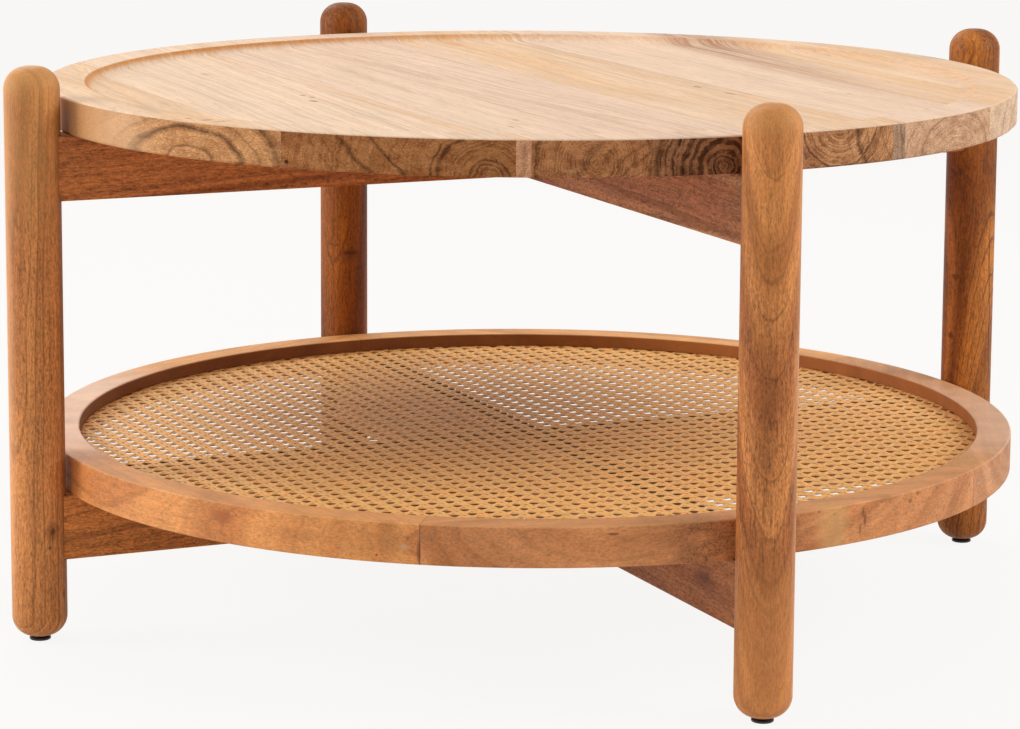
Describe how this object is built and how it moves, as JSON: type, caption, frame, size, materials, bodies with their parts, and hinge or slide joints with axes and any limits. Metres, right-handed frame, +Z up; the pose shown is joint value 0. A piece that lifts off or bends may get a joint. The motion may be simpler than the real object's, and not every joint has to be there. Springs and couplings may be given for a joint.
{
  "type": "coffee table",
  "caption": "Round wooden coffee table: recessed tray top on crossed beams between round posts, with an open cane shelf in a wooden hoop below.",
  "frame": {"origin": "on the floor, under the middle of the table", "axes": "+Z up; the crossed beams run along X and Y; the boards of the tray run along Y"},
  "size_m": [0.897, 0.897, 0.46],
  "materials": {
    "post_wood": "satin oil, orange-brown vertical grain",
    "beam_wood": "satin oil, reddish brown grain",
    "tray_wood": "satin oil, pale honey long grain, dark end grain on the edge",
    "hoop_wood": "satin oil, orange-brown grain",
    "cane": "matt golden cane webbing",
    "strip_wood": "matt bent strip",
    "dowel_wood": "matt",
    "fastener_steel": "zinc plated",
    "insert_brass": "satin",
    "pad_plastic": "matt black"
  },
  "bodies": {
    "table": {"post_front": "post_wood", "post_right": "post_wood", "post_back": "post_wood", "post_left": "post_wood", "upper_beam_x": "beam_wood", "upper_beam_y": "beam_wood", "lower_beam_x": "beam_wood", "lower_beam_y": "beam_wood", "tray_board_1": "tray_wood", "tray_board_2": "tray_wood", "tray_board_3": "tray_wood", "tray_board_4": "tray_wood", "tray_board_5": "tray_wood", "tray_board_6": "tray_wood", "tray_board_7": "tray_wood", "tray_board_8": "tray_wood", "tray_board_9": "tray_wood", "hoop_segment_1": "hoop_wood", "hoop_segment_2": "hoop_wood", "hoop_segment_3": "hoop_wood", "hoop_segment_4": "hoop_wood", "hoop_segment_5": "hoop_wood", "cane_panel": "cane", "cane_strip": "strip_wood", "strip_nails": "fastener_steel", "hoop_joint_dowels": "dowel_wood", "hoop_joint_pins": "fastener_steel", "hoop_beam_dowels": "dowel_wood", "hanger_bolts": "fastener_steel", "bolt_washers": "fastener_steel", "bolt_nuts": "fastener_steel", "tray_screws": "fastener_steel", "lap_screws": "fastener_steel", "foot_inserts": "insert_brass"},
    "foot_front": {"foot_pad_front": "pad_plastic", "foot_stem_front": "fastener_steel"},
    "foot_right": {"foot_pad_right": "pad_plastic", "foot_stem_right": "fastener_steel"},
    "foot_back": {"foot_pad_back": "pad_plastic", "foot_stem_back": "fastener_steel"},
    "foot_left": {"foot_pad_left": "pad_plastic", "foot_stem_left": "fastener_steel"}
  },
  "joints": [
    {"name": "foot_front_screw", "type": "slide", "parent": "table", "child": "foot_front", "axis": [0, 0, -1], "range_m": [0, 0.008]},
    {"name": "foot_right_screw", "type": "slide", "parent": "table", "child": "foot_right", "axis": [0, 0, -1], "range_m": [0, 0.008]},
    {"name": "foot_back_screw", "type": "slide", "parent": "table", "child": "foot_back", "axis": [0, 0, -1], "range_m": [0, 0.008]},
    {"name": "foot_left_screw", "type": "slide", "parent": "table", "child": "foot_left", "axis": [0, 0, -1], "range_m": [0, 0.008]}
  ]
}
